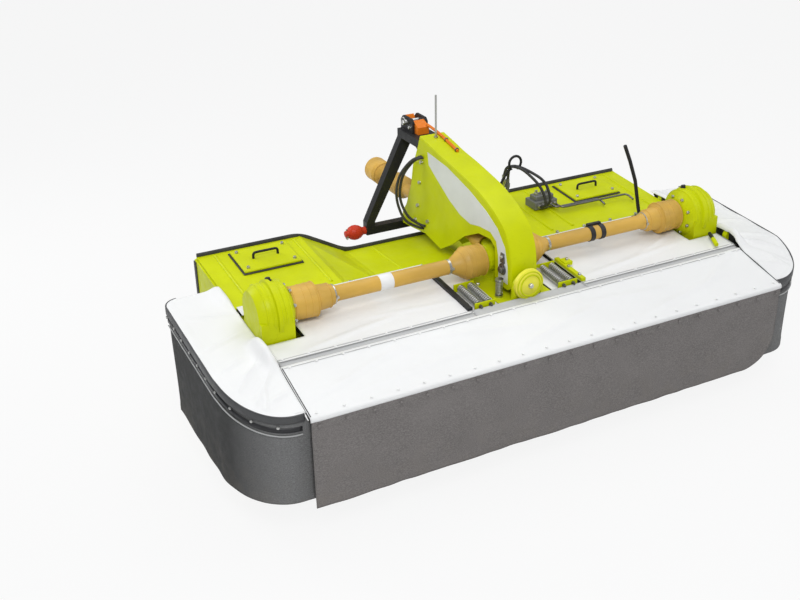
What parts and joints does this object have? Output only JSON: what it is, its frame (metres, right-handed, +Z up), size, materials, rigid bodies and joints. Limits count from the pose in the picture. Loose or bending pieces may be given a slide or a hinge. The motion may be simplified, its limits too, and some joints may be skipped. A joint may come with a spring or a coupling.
{
  "type": "disc mower conditioner",
  "caption": "Front-mounted disc mower conditioner with a hitch arm, oval cutting discs, a tined rotor and fabric covers that fold up.",
  "frame": {"origin": "on the floor below the middle of the machine's length and width", "axes": "+X to the machine's right as seen from the front, across its width; +Y towards the tractor; +Z up"},
  "size_m": [3.4, 2.21, 1.57],
  "materials": {
    "lime_paint": "glossy lime paint",
    "black_paint": "satin black paint",
    "bare_steel": "bare worn steel",
    "white_tarp": "coated white tarpaulin",
    "grey_curtain": "coated grey cloth",
    "tan_plastic": "moulded tan guard plastic",
    "red_paint": "red paint",
    "orange_paint": "orange paint",
    "yellow_plastic": "yellow moulded cap"
  },
  "bodies": {
    "mower": {"adjust_lever": "black_paint", "centre_gearbox": "lime_paint", "cradle": "lime_paint", "cutterbar": "bare_steel", "deck_frame_left": "black_paint", "deck_frame_right": "black_paint", "deck_tarp_left": "white_tarp", "deck_tarp_right": "white_tarp", "end_gearbox_left": "lime_paint", "end_gearbox_right": "lime_paint", "end_plate_left": "lime_paint", "end_plate_right": "lime_paint", "front_beam": "black_paint", "hood_cover": "lime_paint", "hood_shell": "lime_paint", "hose_holder": "black_paint", "pivot_drum": "yellow_plastic", "rear_bar": "lime_paint", "rear_beam": "lime_paint", "relief_spring_left": "bare_steel", "relief_spring_right": "bare_steel", "shaft_guard_left": "tan_plastic", "shaft_guard_right": "tan_plastic"},
    "front_flap": {"flap_tarp": "white_tarp", "flap_frame": "black_paint", "flap_curtain": "grey_curtain"},
    "side_cover_left": {"side_tarp_left": "white_tarp", "side_frame_left": "black_paint", "side_curtain_left": "grey_curtain"},
    "side_cover_right": {"side_tarp_right": "white_tarp", "side_frame_right": "black_paint", "side_curtain_right": "grey_curtain"},
    "rotor": {"conditioner_rotor": "bare_steel"},
    "pivot": {"pivot_block": "black_paint"},
    "hitch_arm": {"arm": "lime_paint", "headstock": "black_paint", "hitch_pin_left": "red_paint", "hitch_pin_right": "red_paint", "top_hook": "orange_paint", "marker_rod": "bare_steel"},
    "input_shaft": {"input_guard": "tan_plastic"},
    "swath_board_left": {"swath_board_left": "bare_steel"},
    "swath_board_right": {"swath_board_right": "bare_steel"},
    "parking_leg_left": {"parking_leg_left": "black_paint"},
    "parking_leg_right": {"parking_leg_right": "black_paint"},
    "disc_1": {"disc_1": "lime_paint"},
    "disc_2": {"disc_2": "bare_steel"},
    "disc_3": {"disc_3": "bare_steel"},
    "disc_4": {"disc_4": "bare_steel"},
    "disc_5": {"disc_5": "bare_steel"},
    "disc_6": {"disc_6": "bare_steel"},
    "disc_7": {"disc_7": "lime_paint"}
  },
  "joints": [
    {"name": "disc_1_spin", "type": "hinge", "parent": "mower", "child": "disc_1", "pos_m": [-1.275, -0.4, 0.1], "axis": [0, 0, 1], "continuous": true},
    {"name": "disc_2_spin", "type": "hinge", "parent": "mower", "child": "disc_2", "pos_m": [-0.85, -0.4, 0.1], "axis": [0, 0, 1], "continuous": true},
    {"name": "disc_3_spin", "type": "hinge", "parent": "mower", "child": "disc_3", "pos_m": [-0.425, -0.4, 0.1], "axis": [0, 0, 1], "continuous": true},
    {"name": "disc_4_spin", "type": "hinge", "parent": "mower", "child": "disc_4", "pos_m": [0, -0.4, 0.1], "axis": [0, 0, 1], "continuous": true},
    {"name": "disc_5_spin", "type": "hinge", "parent": "mower", "child": "disc_5", "pos_m": [0.425, -0.4, 0.1], "axis": [0, 0, 1], "continuous": true},
    {"name": "disc_6_spin", "type": "hinge", "parent": "mower", "child": "disc_6", "pos_m": [0.85, -0.4, 0.1], "axis": [0, 0, 1], "continuous": true},
    {"name": "disc_7_spin", "type": "hinge", "parent": "mower", "child": "disc_7", "pos_m": [1.275, -0.4, 0.1], "axis": [0, 0, 1], "continuous": true},
    {"name": "rotor_spin", "type": "hinge", "parent": "mower", "child": "rotor", "pos_m": [0, 0.05, 0.35], "axis": [1, 0, 0], "continuous": true},
    {"name": "flap_lift", "type": "hinge", "parent": "mower", "child": "front_flap", "pos_m": [0, -0.745, 0.7292], "axis": [-1, 0, 0], "range_deg": [0, 88]},
    {"name": "side_lift_left", "type": "hinge", "parent": "mower", "child": "side_cover_left", "pos_m": [-1.425, 0, 0.8], "axis": [0, 1, 0], "range_deg": [0, 90]},
    {"name": "side_lift_right", "type": "hinge", "parent": "mower", "child": "side_cover_right", "pos_m": [1.425, 0, 0.8], "axis": [0, -1, 0], "range_deg": [0, 90]},
    {"name": "arm_roll", "type": "hinge", "parent": "mower", "child": "pivot", "pos_m": [0, -0.57, 0.8], "axis": [0, 1, 0], "range_deg": [-6, 6], "stiffness_Nm_per_rad": 3000},
    {"name": "arm_pitch", "type": "hinge", "parent": "pivot", "child": "hitch_arm", "pos_m": [0, -0.57, 0.87], "axis": [1, 0, 0], "range_deg": [0, 8]},
    {"name": "input_pitch", "type": "hinge", "parent": "mower", "child": "input_shaft", "pos_m": [0, -0.25, 0.885], "axis": [1, 0, 0], "range_deg": [0, 10]},
    {"name": "board_swing_left", "type": "hinge", "parent": "mower", "child": "swath_board_left", "pos_m": [-1.23, 0.49, 0.5], "axis": [0, 0, 1], "range_deg": [-25, 20]},
    {"name": "board_swing_right", "type": "hinge", "parent": "mower", "child": "swath_board_right", "pos_m": [1.23, 0.49, 0.5], "axis": [0, 0, -1], "range_deg": [-25, 20]},
    {"name": "leg_swing_left", "type": "hinge", "parent": "mower", "child": "parking_leg_left", "pos_m": [-0.64, 0.492, 0.53], "axis": [1, 0, 0], "range_deg": [0, 90]},
    {"name": "leg_swing_right", "type": "hinge", "parent": "mower", "child": "parking_leg_right", "pos_m": [0.64, 0.492, 0.53], "axis": [1, 0, 0], "range_deg": [0, 90]}
  ],
  "couplings": [
    {"joint": "disc_2_spin", "follows": "disc_1_spin", "ratio": -1},
    {"joint": "disc_3_spin", "follows": "disc_1_spin", "ratio": 1},
    {"joint": "disc_4_spin", "follows": "disc_1_spin", "ratio": -1},
    {"joint": "disc_5_spin", "follows": "disc_1_spin", "ratio": 1},
    {"joint": "disc_6_spin", "follows": "disc_1_spin", "ratio": -1},
    {"joint": "disc_7_spin", "follows": "disc_1_spin", "ratio": 1},
    {"joint": "input_pitch", "follows": "arm_pitch", "ratio": 1.236}
  ]
}
